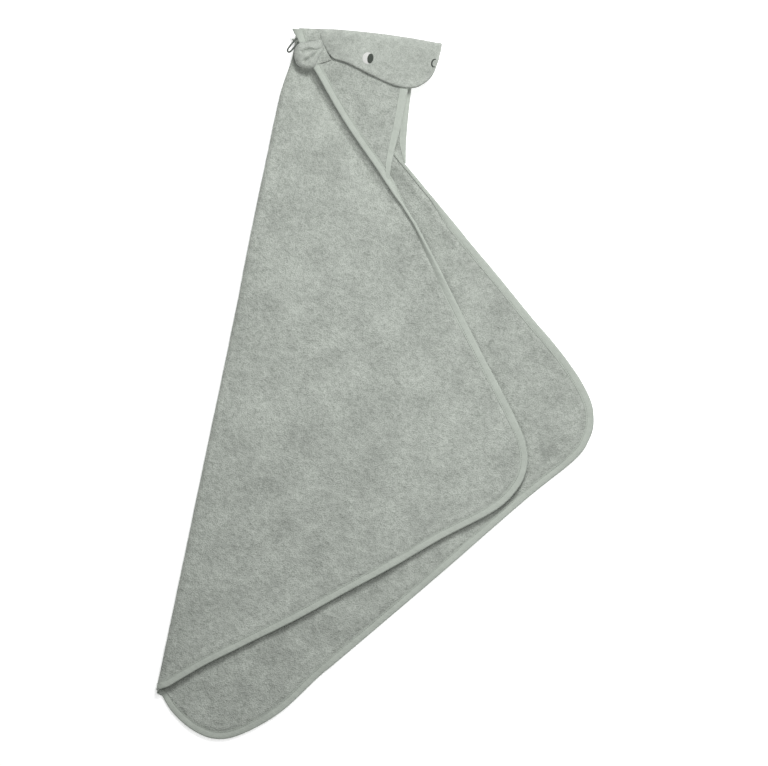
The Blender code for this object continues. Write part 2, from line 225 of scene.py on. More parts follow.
def make_mesh(name, points, faces, material, uv=None):
    """A piece from points in the towel frame, with its faces turned outwards and an optional UV map."""
    mesh = bpy.data.meshes.new(name)
    mesh.from_pydata(placed(points).tolist(), [], faces)
    mesh.validate()
    mesh.calc_loop_triangles()
    triangles = np.zeros(len(mesh.loop_triangles) * 3, np.int32)
    mesh.loop_triangles.foreach_get("vertices", triangles)
    a, b, c = (placed(points)[triangles[k::3]] for k in range(3))
    if np.sum(a * np.cross(b, c)) < 0:
        mesh.flip_normals()
    if uv is not None:
        corner = np.zeros(len(mesh.loops), np.int32)
        mesh.loops.foreach_get("vertex_index", corner)
        layer = mesh.uv_layers.new(name="cloth")
        layer.data.foreach_set("uv", np.asarray(uv, np.float32)[corner].ravel())
    mesh.shade_smooth()
    mesh.set_sharp_from_angle(angle=math.radians(60))
    mesh.materials.append(material)
    made = bpy.data.objects.new(name, mesh)
    bpy.context.scene.collection.objects.link(made)
    return made


def grid_faces(rows, columns, first=0, around=False):
    """Four-sided faces between neighbouring rows of points; around closes each row."""
    index = np.arange(rows * columns).reshape(rows, columns) + first
    if around:
        index = np.hstack([index, index[:, :1]])
    return np.stack([index[:-1, :-1], index[1:, :-1], index[1:, 1:], index[:-1, 1:]], -1).reshape(-1, 4)


def normals_of(mid):
    """Unit normals of a grid of points, from the steps to its neighbours."""
    along = np.gradient(mid, axis=0)
    across = np.gradient(mid, axis=1)
    return unit(np.cross(across, along))


def cloth(name, mid, thickness, material, uv=None):
    """Closed cloth round a grid of middle points: both faces stand half the thickness off it."""
    rows, columns = mid.shape[:2]
    half = normals_of(mid) * (np.asarray(thickness) / 2)[..., None]
    points = np.concatenate([(mid + half).reshape(-1, 3), (mid - half).reshape(-1, 3)])
    count = rows * columns
    upper = np.arange(count).reshape(rows, columns)
    faces = [grid_faces(rows, columns), grid_faces(rows, columns, count)[:, ::-1]]
    for edge in (upper[:, 0][::-1], upper[:, -1], upper[0], upper[-1][::-1]):
        faces.append(np.stack([edge[:-1], edge[1:], edge[1:] + count, edge[:-1] + count], -1))
    uvs = None if uv is None else np.concatenate([uv.reshape(-1, 2)] * 2)
    return make_mesh(name, points, np.concatenate(faces).tolist(), material, uvs)


def tube(name, rings, material, uv=None):
    """Closed skin over a row of closed rings, with both ends capped."""
    rows, columns = rings.shape[:2]
    faces = grid_faces(rows, columns, around=True).tolist()
    faces.append(list(range(columns)))
    faces.append(list(range((rows - 1) * columns, rows * columns))[::-1])
    return make_mesh(name, rings.reshape(-1, 3), faces, material, uv)


def rounded(share, radius):
    """Thickness left at a share of the way from a free edge: a quarter ellipse, then full."""
    return np.sqrt(np.clip(1 - (1 - np.minimum(share / radius, 1)) ** 2, 0.02, 1))


# Materials

WAVE = math.tau / 20           # a Wave texture of this scale repeats once a metre


def linear(code):
    """An sRGB hex colour as linear red, green, blue and alpha."""
    parts = [int(code[k:k + 2], 16) / 255 for k in (1, 3, 5)]
    return (*[p / 12.92 if p <= 0.04045 else ((p + 0.055) / 1.055) ** 2.4 for p in parts], 1)


def add(tree, kind, sockets=None, **settings):
    """One shader node with its settings; a socket takes a value or another node's output."""
    made = tree.nodes.new("ShaderNode" + kind)
    for setting, value in settings.items():
        setattr(made, setting, value)
    for key, value in (sockets or {}).items():
        if isinstance(value, bpy.types.NodeSocket):
            tree.links.new(value, made.inputs[key])
        else:
            made.inputs[key].default_value = value
    return made


def start_material(name, roughness, sheen, sheen_roughness=0.5):
    """A new material, its node tree and its shader, with what is the same all over set on it."""
    material = bpy.data.materials.new(name)
    material.use_nodes = True
    tree = material.node_tree
    shader = tree.nodes["Principled BSDF"]
    shader.inputs["Roughness"].default_value = roughness
    shader.inputs["Sheen Weight"].default_value = sheen
    shader.inputs["Sheen Roughness"].default_value = sheen_roughness
    shader.inputs["Specular IOR Level"].default_value = 0.25
    return material, tree, shader


def coloured(tree, shader, share, dark, light, shade=None):
    """Base colour between a dark and a light one by a share, made paler or darker by a shade."""
    colour = add(tree, "Mix", {"Factor": share, 6: linear(dark), 7: linear(light)},
                 data_type="RGBA").outputs[2]
    if shade is not None:
        colour = add(tree, "HueSaturation", {"Value": shade, "Color": colour}).outputs["Color"]
    tree.links.new(colour, shader.inputs["Base Color"])


def raised(tree, shader, *layers):
    """Relief in layers, one on another, each as (height, its rise in mm, strength)."""
    below = {}
    for height, rise, strength in layers:
        bump = add(tree, "Bump", {"Height": height, "Distance": rise * MM, "Strength": strength, **below})
        below = {"Normal": bump.outputs["Normal"]}
    tree.links.new(below["Normal"], shader.inputs["Normal"])


def pile_material(name, tips, shaded_valleys, pitch, relief, sheen, mottle):
    """Cotton pile: tufts of the given pitch in mm, with painted shade between them, in clouds of brushed
    pile.

    Loops that lie one way or another give the eye soft pale and dark patches over a fine grain: the 8 mm
    patches are painted shade, lighter on the swells that the bump raises and darker in its dips, and the 42
    mm field is tone that differs at random.
    """
    material, tree, shader = start_material(name, 0.95, sheen)
    place = add(tree, "TexCoord").outputs["Object"]
    tufts = add(tree, "TexVoronoi", {"Vector": place, "Scale": 1 / (pitch * MM)}, feature="F1")
    grain, patch, field = (
        add(tree, "TexNoise", {"Vector": place, "Scale": 1 / (size * MM), "Detail": detail}).outputs["Fac"]
        for size, detail in ((3, 3), (8, 2), (42, 2))
    )
    tuft = add(tree, "MapRange", {"Value": tufts.outputs["Distance"], "From Min": 0.15,
                                  "From Max": 0.85, "To Min": 1, "To Max": 0})
    height = add(tree, "Math", {0: tuft.outputs["Result"], 1: grain}, operation="ADD").outputs["Value"]
    # Painted shade between tufts: the mix runs from the valley colour where tufts and grain sink to the tip
    # colour where they stand
    depth = add(tree, "MapRange", {"Value": height, "From Min": 0.5, "From Max": 1.35})
    # Partly painted shade: the 8 mm patches also raise the bump, and the tone is lighter on their swells and
    # darker in their dips; the 42 mm field is tone that differs at random
    clouding = add(tree, "Math", {0: patch, 1: field}, operation="ADD")
    shade = add(tree, "MapRange", {"Value": clouding.outputs["Value"], "From Min": 0.65,
                                   "From Max": 1.35, "To Min": 1 - mottle, "To Max": 1 + mottle})
    coloured(tree, shader, depth.outputs["Result"], shaded_valleys, tips, shade.outputs["Result"])
    raised(tree, shader, (patch, 2.2, 0.8), (height, relief, 1.0))
    return material


def woven_material(name, thread, shadow, pitch, relief, sheen):
    """Woven cotton: warp and weft ridges of the given pitch in mm, on the piece's own UV map.

    The fine weave looks flat and even beside the pile, with small puckers from the sewing.
    """
    material, tree, shader = start_material(name, 0.82, sheen)
    along = add(tree, "UVMap", uv_map="cloth").outputs["UV"]
    place = add(tree, "TexCoord").outputs["Object"]
    warp, weft = (
        add(tree, "TexWave", {"Vector": along, "Scale": WAVE / (pitch * MM), "Distortion": 0.6,
                              "Detail": 1}, bands_direction=way).outputs["Fac"]
        for way in ("X", "Y")
    )
    weave = add(tree, "Math", {0: warp, 1: weft}, operation="MULTIPLY").outputs["Value"]
    pucker, field = (
        add(tree, "TexNoise", {"Vector": place, "Scale": 1 / (size * MM), "Detail": 2}).outputs["Fac"]
        for size in (5, 30)
    )
    # Partly painted shade: lighter on the pucker swells that the bump raises and darker in their dips; the 30
    # mm field is tone that differs at random
    pucker_shade_and_tone = add(tree, "Math", {0: pucker, 1: field}, operation="ADD")
    shade = add(tree, "MapRange", {"Value": pucker_shade_and_tone.outputs["Value"], "From Min": 0.6, "From Max": 1.4,
                                   "To Min": 0.93, "To Max": 1.06})
    coloured(tree, shader, weave, shadow, thread, shade.outputs["Result"])
    raised(tree, shader, (pucker, 0.9, 0.8), (weave, relief, 0.7))
    return material


def thread_material(name, light, dark, pitch):
    """Twisted rayon or cotton thread: lines of the given pitch in mm, with painted shine along each strand
    and painted shade between strands.
    """
    material, tree, shader = start_material(name, 0.5, 0.2)
    along = add(tree, "UVMap", uv_map="cloth").outputs["UV"]
    place = add(tree, "TexCoord").outputs["Object"]
    strands = add(tree, "TexWave", {"Vector": along, "Scale": WAVE / (pitch * MM),
                                    "Distortion": 1.2, "Detail": 2}, bands_direction="X").outputs["Fac"]
    uneven = add(tree, "TexNoise", {"Vector": place, "Scale": 1 / (3 * MM), "Detail": 2}).outputs["Fac"]
    # Painted shine and shade: the light colour on each strand and the dark colour between strands, made
    # uneven at random
    share = add(tree, "Math", {0: strands, 1: uneven}, operation="MULTIPLY")
    coloured(tree, shader, share.outputs["Value"], dark, light)
    raised(tree, shader, (strands, 0.25, 0.8))
    return material


# Second colours: for the piles painted shade between tufts, for the weaves shade between threads, for the
# threads painted shade between strands
TERRY_PILE = pile_material("cotton terry", "#b3b8b1", "#979d95", 1.6, 0.42, 0.2, 0.19)
VELOUR_PILE = pile_material("sheared velour terry", "#b5bab3", "#9ca29a", 1.3, 0.3, 0.3, 0.17)
WOVEN_TAPE = woven_material("woven cotton bias tape", "#c1c7bf", "#abb2a9", 0.8, 0.12, 0.15)
PLAIN_LINING = woven_material("plain-weave cotton lining", "#b4bab2", "#969d94", 0.8, 0.1, 0.1)
WHITE_THREAD = thread_material("white satin stitch", "#f4f4f1", "#d5d6d2", 0.6)
DARK_THREAD = thread_material("dark satin stitch", "#5f665f", "#3b413b", 0.6)
SEWING_THREAD = thread_material("sage sewing thread", "#b6bcb4", "#9ba298", 0.4)
LOOP_THREAD = thread_material("twisted cotton cord", "#6f766e", "#474d47", 1.2)


# Body

def from_far_seam(x, y):
    """Distance along the far seam's line and distance off it towards the spine."""
    return (x * math.sin(FAR_SEAM_ANGLE) - y * math.cos(FAR_SEAM_ANGLE),
            -x * math.cos(FAR_SEAM_ANGLE) - y * math.sin(FAR_SEAM_ANGLE))


def from_seam(x, y):
    """Distance along the near seam's line and distance off it towards the spine."""
    return (x * math.sin(SEAM_ANGLE) - y * math.cos(SEAM_ANGLE),
            -x * math.cos(SEAM_ANGLE) - y * math.sin(SEAM_ANGLE))


def lower_level(x, y):
    """Height of the lower cloth's middle: flat on the ground, rising to the hood along the far seam."""
    along, off = from_far_seam(x, y)
    up = 4.2 * step(along, 400, 290) * step(along, 40, 110) * step(off, 26, 2)
    waves = 0.8 * clouds(x, y, 75, 3) + 0.4 * clouds(x, y, 26, 4)
    return 2.6 + up + (waves + 0.6) * step(x, 12, 50)


def upper_level(x, y):
    """Height of the upper cloth's middle: high at the spine, sinking towards the middle."""
    along, off = from_seam(x, y)
    broad = 1.5 * clouds(x + 31, y, 150, 5) + 0.9 * clouds(x, y, 62, 6) + 0.5 * clouds(x, y, 24, 7)
    sag = 1.6 * step(x, 15, 80) * step(off, 30, 90)
    return 14.5 - sag + broad * step(x, 10, 60) * (1 - 0.6 * bell(off, 0, 40) * step(along, 330, 240))


def valley(x, y):
    """Depth of the valley beside the hood's seam, deepest by the ear, where the cloth is pulled down."""
    along, off = from_seam(x, y)
    beside = 5.8 * bell(off, 8, 30) * step(along, 300, 215) * step(along, 5, 50)
    return beside + 4.2 * bell(off, 8, 14) * bell(along, 72, 36)


def no_valley(x, y):
    """The lower cloth lies flat beside its seam."""
    return np.zeros_like(x)


def bowed(x, y):
    """Drift of the spine's fold away from a straight line, dying out across the cloth."""
    return SPINE_BOW * step(y, -250, -420) * step(x, 70, 8)


def upper_cloth(s, y, height):
    """Point of the upper cloth from its developed place: round the spine's fold, then flat."""
    x, rise = rolled(s, height, SPINE_CENTRE[0], SPINE_RADIUS)
    x = x + bowed(x, y)
    flat = SPINE_CENTRE[1] + SPINE_RADIUS
    return np.stack([x, y, SPINE_CENTRE[1] + rise + upper_level(x, y) - flat], -1)


def lower_cloth(s, y, height):
    """Point of the lower cloth from its developed place; its upper face is inside the fold."""
    x, rise = rolled(s, -height, SPINE_CENTRE[0], SPINE_RADIUS)
    x = x + bowed(x, y)
    flat = SPINE_CENTRE[1] - SPINE_RADIUS
    return np.stack([x, y, SPINE_CENTRE[1] - rise + lower_level(x, y) - flat], -1)


def developed(path):
    """Flat outline points with X replaced by the developed distance from the spine's fold."""
    s = spread_from(path[:, 0], SPINE_CENTRE[0], SPINE_RADIUS)
    return np.stack([s, path[:, 1]], axis=1)


def drawn_in(points):
    """Body layer with its corner at the tip drawn away from the spine's line by the seam."""
    points = points.copy()
    x, y = points[..., 0], points[..., 1]
    points[..., 0] += TIP_PULL * step(y, -100, -18) * step(x, 45, 6)
    return points


STATIONS = 400
FOLD_REACH = SPINE_RADIUS * math.pi / 2
SPLIT_REACH = SPINE_RADIUS * SPLIT_ANGLE


def near_tape_path():
    """Middle of the upper tape in developed places: tip, join, near corner, tail, and round the fold."""
    path = developed(curve_through(NEAR_TAPE, 900))
    tail = np.array([[2.0, path[-1, 1] - 6.5], [SPLIT_REACH, path[-1, 1] - 9.5]])
    return curve_through(np.vstack([path, tail]), STATIONS, corners=True)


def far_width(run):
    """Share of its width that the lower tape shows: a narrow start where it comes out of the seam."""
    return np.interp(run, [0, 170, 205, 285, 330], [1, 1, 0.3, 0.42, 1])


def far_tape_path():
    """Middle of the lower tape in developed places, half a width inside the cloth's outer edge."""
    seam = np.stack([polar(r, FAR_SEAM_ANGLE) for r in np.linspace(12, FAR_SEAM_LENGTH, 10)])
    edge = curve_through(np.vstack([seam, FAR_EDGE]), 1200)
    flat = edge + side_of(edge, -1) * (TAPE_WIDTH / 2 * far_width(lengths(edge)))[:, None]
    path = developed(flat[(flat[:, 0] > 6) | (flat[:, 1] > -400)])
    tail = np.array([[-SPLIT_REACH, -914.0]])
    return curve_through(np.vstack([path, tail]), STATIONS, corners=True)


NEAR_PATH = near_tape_path()
FAR_PATH = far_tape_path()
NEAR_RUN = lengths(NEAR_PATH)
FAR_RUN = lengths(FAR_PATH)
# Twist of the upper tape in degrees at distances along it: its closed side lies over the body along
# the seam, stands on edge past the join, and lies outwards from there on
TWIST = np.radians(np.interp(NEAR_RUN, [0, 228, 252, 275, 305, 345, 410, 470],
                             [180, 176, 140, 105, 72, 46, 18, 0]))
TAPE_RISE = np.interp(NEAR_RUN, [0, 30, 220, 255, 300, 360, 440, 500],
                      [4.8, 5.4, 4.9, 4.4, 3.8, 2.6, 0.9, 0])
# The lower tape twists the other way, under the cloth
FAR_TWIST = np.radians(np.interp(FAR_RUN, [0, 160, 182, 205], [-180, -176, -90, 0]))
FAR_RISE = np.interp(FAR_RUN, [0, 160, 205], [-3.0, -3.0, 0])


def tape_frame(path, twist, rise, turn):
    """Middle, inward and upward directions of a tape in developed coordinates (s, y, height).

    Inward points from the tape's closed side into the cloth; twist turns it downwards and then out.
    """
    flat = side_of(path, turn)
    side = np.column_stack([flat, np.zeros(len(flat))])
    up = np.tile([0.0, 0, 1], (len(flat), 1))
    middle = np.column_stack([path, rise])
    inward = side * np.cos(twist)[:, None] - up * np.sin(twist)[:, None]
    outward = side * np.sin(twist)[:, None] + up * np.cos(twist)[:, None]
    return middle, inward, outward, side


def tape_profile(width, height):
    """Closed section of a tape folded over an edge, as (depth from its middle, height) pairs.

    Two plies run from a round closed side; they draw together at the stitching and open a little
    at their free edges.
    """
    depth = np.array([1.0, 0.93, 0.84, 0.76, 0.6, 0.4, 0.2]) * width - width / 2
    level = np.array([1.02, 0.93, 0.82, 0.9, 1.0, 1.03, 1.0]) * height / 2
    turn = np.linspace(math.pi / 2, -math.pi / 2, 9)[1:-1]
    round_depth = 0.2 * width - width / 2 - 0.2 * width * np.cos(turn)
    outer = np.concatenate([
        np.column_stack([depth, level]),
        np.column_stack([round_depth, height / 2 * np.sin(turn)]),
        np.column_stack([depth[::-1], -level[::-1]]),
    ])
    inset = np.column_stack([outer[:, 0] + TAPE * (outer[:, 0] < 0), outer[:, 1] * (1 - 2 * TAPE / height)])
    return np.concatenate([outer, inset[::-1]])


def swept_tape(middle, inward, outward, profile, width=1.0):
    """Rings of a tape: its profile at each station along the inward and outward directions."""
    spread = np.broadcast_to(width, len(middle))[:, None, None]
    return (middle[:, None] + inward[:, None] * profile[None, :, :1] * spread
            + outward[:, None] * profile[None, :, 1:])


def puckered(rings, run, seed):
    """Rings with the small swells that sewing leaves, in height and across the tape."""
    swell = 0.22 * clouds(run, 0, 7, seed) + 0.3 * clouds(run, 0, 31, seed + 1)
    sway = 0.35 * clouds(run, 9, 24, seed + 2)
    rings = rings.copy()
    rings[..., 2] += swell[:, None]
    rings[..., :2] += sway[:, None, None] * 0.7
    return rings


def cut_level(rings, run):
    """Rings of the upper tape sheared at the tip, so that its end lies along the crown."""
    rings = rings.copy()
    middle = rings.mean(axis=1)
    ahead = rings[..., 1] - middle[:, None, 1] - 0.2 * (rings[..., 0] - middle[:, None, 0])
    rings[..., 1] -= ahead * (1 - step(run, 0, 24))[:, None]
    return rings


PROFILE_STEP = 0.9            # rough distance between the points of a tape's section


def tape_uv(run, columns):
    """UV map of a tape, in metres: along its run and round its section."""
    around = np.arange(columns) * PROFILE_STEP
    along, across = np.meshgrid(run, around, indexing="ij")
    return np.column_stack([along.ravel(), across.ravel()]) * MM


def at_stations(rows, run, at):
    """Rows of vectors, read off between the stations of a run."""
    return np.stack([np.interp(at, run, rows[:, k]) for k in range(3)], axis=1)


def stitch_row(name, line, up):
    """Row of small stitches along a line: each a six-sided bead, long along the line.

    Bead k is centred half a pitch past k pitches; its rings are small at both ends and sink there.
    """
    run = lengths(line)
    count = int(run[-1] / STITCH_PITCH)
    at = (np.arange(count) + 0.5) * STITCH_PITCH
    centre = at_stations(line, run, at)
    lift = unit(at_stations(up, run, at))
    along = unit(at_stations(np.gradient(line, axis=0), run, at))
    across = unit(np.cross(lift, along))
    stations = np.array([-0.5, -0.3, 0.3, 0.5]) * STITCH_LENGTH
    scale = np.array([0.4, 1, 1, 0.4]) * STITCH_RADIUS
    sink = np.array([-0.25, 0.05, 0.05, -0.25])
    turn = np.arange(6) * math.tau / 6
    ring = across[:, None, None] * np.cos(turn)[None, None, :, None] * scale[None, :, None, None] \
        + lift[:, None, None] * (np.sin(turn)[None, None, :, None] * scale[None, :, None, None] * 0.8
                                 + sink[None, :, None, None])
    beads = centre[:, None, None] + along[:, None, None] * stations[None, :, None, None] + ring
    one = np.concatenate([grid_faces(4, 6, around=True),
                          [[0, 1, 2, 3], [0, 3, 4, 5], [21, 20, 19, 18], [23, 22, 21, 18]]])
    faces = (one[None] + (np.arange(count) * 24)[:, None, None]).reshape(-1, 4)
    points = beads.reshape(-1, 3)
    uv = np.column_stack([np.repeat(np.tile(stations, count), 6), np.tile(turn, count * 4)]) * MM
    return make_mesh(name, points, faces.tolist(), SEWING_THREAD, uv)


def hermite(start, start_way, end, end_way, share):
    """Cubic curve between two points with the given directions at its ends."""
    t = share[None, :, None]
    return (start[:, None] * (2 * t ** 3 - 3 * t ** 2 + 1) + start_way[:, None] * (t ** 3 - 2 * t ** 2 + t)
            + end[:, None] * (3 * t ** 2 - 2 * t ** 3) + end_way[:, None] * (t ** 3 - t ** 2))


EDGE_REACH = 16.0             # stretch of cloth beside a tape that bends into it
EDGE_ROWS = 14


def towelling(spine_s, path, tape, rows, sink):
    """Developed grid (s, y, height) of a body layer.

    Straight rulings run from the spine to a line beside the tape; from there each follows a cubic
    curve into the tape.  The first rows are close together, to go round the fold.
    """
    middle, inward, _, side = tape
    count = len(path)
    spine_y = np.linspace(BODY_START, path[-1, 1] + 0.5, count)
    start = np.column_stack([np.full(count, spine_s), spine_y])
    room = np.clip((path[:, 0] - spine_s) * 0.6, 0.5, EDGE_REACH)[:, None]
    beside = path + side[:, :2] * room
    span = np.linalg.norm(beside - start, axis=1)
    fold = np.minimum(16.0 / np.maximum(span, 1e-6), 0.5)
    early = np.linspace(0, 1, 18)[None, :] * fold[:, None]
    late = fold[:, None] + (1 - fold[:, None]) * np.linspace(0, 1, rows - 17)[None, 1:]
    share = np.concatenate([early, late], axis=1)[..., None]
    flat = start[:, None] * (1 - share) + beside[:, None] * share
    x, _ = rolled(np.maximum(flat[..., 0], 0), 0, SPINE_CENTRE[0], SPINE_RADIUS)
    body = np.dstack([flat, -sink(x, flat[..., 1])])
    end = middle - inward * 2.2
    way = np.minimum(np.linalg.norm(end - body[:, -1], axis=1), 14.0)[:, None] * 1.15
    strip = hermite(body[:, -1], -side * way, end, -inward * way, np.linspace(0, 1, EDGE_ROWS)[1:])
    return np.concatenate([body, strip], axis=1)


NEAR = tape_frame(NEAR_PATH, TWIST, TAPE_RISE, -1)
FAR = tape_frame(FAR_PATH, FAR_TWIST, FAR_RISE, -1)


def pile_thickness(mid):
    """Terry thickness over a grid: uneven pile, pressed thin where the tape holds it."""
    x, y = mid[..., 0], mid[..., 1]
    loft = TERRY + 0.35 * clouds(x, y, 9, 11) + 0.3 * clouds(x, y, 21, 12)
    columns = mid.shape[1]
    place = np.arange(columns)
    pressed = 1 + 0.3 * bell(place, columns - 10, 2) - 0.42 * step(place, columns - 8, columns - 5)
    return loft * pressed[None, :]


def build_body():
    """Both layers of towelling with the tape round them."""
    near_grid = towelling(SPLIT_REACH, NEAR_PATH, NEAR, 96, valley)
    near_mid = drawn_in(upper_cloth(near_grid[..., 0], near_grid[..., 1], near_grid[..., 2]))
    upper = cloth("towelling_upper", near_mid, pile_thickness(near_mid), TERRY_PILE)
    far_grid = towelling(-SPLIT_REACH, FAR_PATH, FAR, 90, no_valley)
    far_mid = drawn_in(lower_cloth(far_grid[..., 0], far_grid[..., 1], far_grid[..., 2]))
    lower = cloth("towelling_lower", far_mid, pile_thickness(far_mid), TERRY_PILE)
    profile = tape_profile(TAPE_WIDTH, TAPE_HEIGHT)
    tapes = []
    for name, tape, path, lay, seed in (
        ("edge_tape_upper", NEAR, NEAR_PATH, upper_cloth, 41),
        ("edge_tape_lower", FAR, FAR_PATH, lower_cloth, 51),
    ):
        run = lengths(path)
        spread = 1 + 0.25 * (1 - step(run, 2, 34)) if tape is NEAR else far_width(run)
        rings = puckered(swept_tape(*tape[:3], profile, spread), run, seed)
        if tape is NEAR:
            rings = cut_level(rings, run)
        rings = lay(rings[..., 0], rings[..., 1], rings[..., 2])
        tapes.append(tube(name, rings, WOVEN_TAPE, tape_uv(run, len(profile))))
        rows = []
        for face, sign in (("top", 1), ("underside", -1)):
            inset = (TAPE_WIDTH * 0.34 * spread)[:, None]
            seat = tape[0] + tape[1] * inset + tape[2] * (TAPE_HEIGHT * 0.41 + 0.1) * sign
            line = lay(seat[:, 0], seat[:, 1], seat[:, 2])
            above = seat + tape[2] * sign
            up = lay(above[:, 0], above[:, 1], above[:, 2]) - line
            rows.append(stitch_row(f"{name}_stitches_{face}", line, up))
        tapes.append(rows)
    return upper, lower, tapes


# Hood and face

def on_side(level, side):
    """A height on the near side, or its mirror image through the crown's level on the far side."""
    return level if side == "near" else 2 * CROWN_LEVEL - level



def around_crown(x, s, height, near, radius):
    """Point of the hood or face from its developed place: down from the crown's outermost line."""
    depth, rise = rolled(s, height, CROWN_DEPTH, radius)
    return np.stack([x, crown(x) - depth, CROWN_LEVEL + np.where(near, 1, -1) * rise], -1)


def below_crown(path, radius):
    """Flat outline points as (x, developed distance from the crown's outermost line)."""
    depth = crown(path[:, 0]) - path[:, 1]
    return np.column_stack([path[:, 0], spread_from(depth, CROWN_DEPTH, radius)])


def ruled(top, bottom, shares):
    """Grid of straight rulings from the points of one curve to those of another."""
    share = np.asarray(shares)[None, :, None]
    return top[:, None] * (1 - share) + bottom[:, None] * share


def folded_panel(top_x, near_edge, far_edge, radius, shares):
    """Grid (x, signed distance) over a crown: rulings to the near edge, and on to the far edge."""
    top = np.column_stack([top_x, np.zeros(len(top_x))])
    near = ruled(top, below_crown(near_edge, radius), shares)
    far = ruled(top, below_crown(far_edge, radius), shares)
    far[..., 1] *= -1
    return np.concatenate([far[:, ::-1], near[:, 1:]], axis=1)


def seam_level(x, y):
    """Height of the tape's middle along the near seam."""
    along, _ = from_seam(x, y)
    return upper_level(x, y) + np.interp(along, NEAR_RUN, TAPE_RISE)


def build_hood():
    """Hood: one cloth from the near seam over the crown to the far seam.

    Rulings run from the crown to each seam; the last ones are bowed to the hood's front edge, and
    the near side sinks from its own level to the tape's along the seam.
    """
    count = 120
    top_x = np.linspace(HOOD_START, HOOD_DEPTH - 1, count)
    seam = curve_through(NEAR_TAPE[1:7], count)
    near_seam = seam + side_of(seam, -1) * 1.5
    far_seam = np.stack([polar(r, FAR_SEAM_ANGLE) for r in np.linspace(14, FAR_SEAM_LENGTH - 2, count)])
    shares = np.concatenate([np.linspace(0, 0.12, 14), np.linspace(0.12, 0.92, 40)[1:],
                             np.linspace(0.92, 1, 12)[1:]])
    grid = folded_panel(top_x, near_seam, far_seam - [3.5, 0], HOOD_RADIUS, shares)
    front_share = np.linspace(0, 1, count)[:, None] ** 5
    fronts = [below_crown(curve_through(edge, 80), HOOD_RADIUS) for edge in (HOOD_FRONT_NEAR, HOOD_FRONT_FAR)]
    row = grid[-1]
    for front, chosen in zip(fronts, (row[:, 1] >= 0, row[:, 1] < 0)):
        bow = np.interp(np.abs(row[:, 1]), front[:, 1], front[:, 0]) - row[:, 0] - 2.0
        grid[..., 0] += front_share * (bow * chosen)[None, :]
    near = grid[..., 1] > 0
    mid = around_crown(grid[..., 0], np.abs(grid[..., 1]), 0, near, HOOD_RADIUS)
    x, y = mid[..., 0], mid[..., 1]
    flat = step(np.abs(grid[..., 1]), 8, 22)
    share = np.concatenate([-shares[::-1], shares[1:]])[None, :]
    tie = step(share, 0.55, 0.97) * near
    waves = 1.1 * clouds(x, y, 48, 21) + 0.6 * clouds(x, y, 19, 22)
    mid[..., 2] += flat * (tie * (seam_level(x, y) - mid[..., 2]) + 0.7 * (1 - tie) * waves)
    mid[..., 1] += 3.4 * step(x, 50, 36) * step(np.abs(grid[..., 1]), 26, 6)
    loft = TERRY + 0.3 * clouds(x, y, 9, 23) + 0.25 * clouds(x, y, 21, 24)
    held = 1 - 0.6 * step(share, 0.93, 0.955) * near
    ends = 1 - 0.5 * step(np.linspace(0, 1, count), 0.945, 0.965)[:, None]
    return cloth("hood", mid, loft * held * ends, TERRY_PILE), fronts


def build_hood_tape(fronts):
    """Tape along the hood's front edge: up the near side, over the crown and down the far side."""
    near = fronts[0][::-1]
    far = fronts[1] * [1, -1]
    path = curve_through(np.vstack([near, far[far[:, 1] < -0.5]]), 170, corners=True)
    run = lengths(path)
    width = np.interp(path[:, 1], [path[-1, 1], path[-1, 1] + 26, -60, 70, 130, 172, path[0, 1]],
                      [0.2, 0.8, 1, 1, 0.85, 0.74, 0.35])
    profile = tape_profile(HOOD_TAPE_WIDTH, TAPE_HEIGHT)
    depth = (profile[None, :, 0] + HOOD_TAPE_WIDTH / 2) * width[:, None]
    place = path[:, None] + side_of(path, -1)[:, None] * depth[..., None]
    swell = 0.25 * clouds(run, 0, 8, 61)[:, None]
    signed = place[..., 1]
    points = around_crown(place[..., 0], np.abs(signed), profile[None, :, 1], signed > 0, HOOD_RADIUS)
    tie = step(signed, 120, 185)
    points[..., 2] += tie * (seam_level(*JOIN) + 0.4 - CROWN_LEVEL - HOOD_RADIUS) + swell
    return tube("hood_front_tape", points, WOVEN_TAPE, tape_uv(run, len(profile)))


def face_grid():
    """Grid (x, signed distance) of the face panel, and its shares of the way to the free edge."""
    count = 110
    share = np.sin(np.linspace(0, 1, count) * math.pi / 2) ** 0.9
    top_x = FACE_SEAM[0][0] + (CROWN_LENGTH - FACE_SEAM[0][0]) * share
    edge = curve_through(FACE_EDGE[::-1], count)
    shares = np.concatenate([np.linspace(0, 0.3, 18), np.linspace(0.3, 0.86, 30)[1:],
                             1 - 0.14 * (1 - np.sin(np.linspace(0, 1, 14)[1:] * math.pi / 2))])
    grid = folded_panel(top_x, edge, edge, FACE_RADIUS, shares)
    seam = below_crown(curve_through(FACE_SEAM, 60), FACE_RADIUS)
    row = grid[0]
    bow = np.interp(np.abs(row[:, 1]), seam[:, 1], seam[:, 0]) - row[:, 0]
    grid[..., 0] += (1 - step(share, 0, 0.3))[:, None] * bow[None, :]
    return grid, shares


def face_swell(x, s):
    """How far the face panel stands off its fold's flat level, on each side."""
    soft = 0.7 * clouds(x, s, 34, 31) + 0.4 * clouds(x, s, 15, 32)
    dome = 1.2 * bell(x, 120, 70) * bell(np.abs(s), 40, 26)
    sunk = 1.9 * (1 - step(x - 0.42 * np.abs(s), 30, 48))
    return (soft + dome) * step(np.abs(s), 8, 24) * np.where(s < 0, PRESSED, 1) - sunk


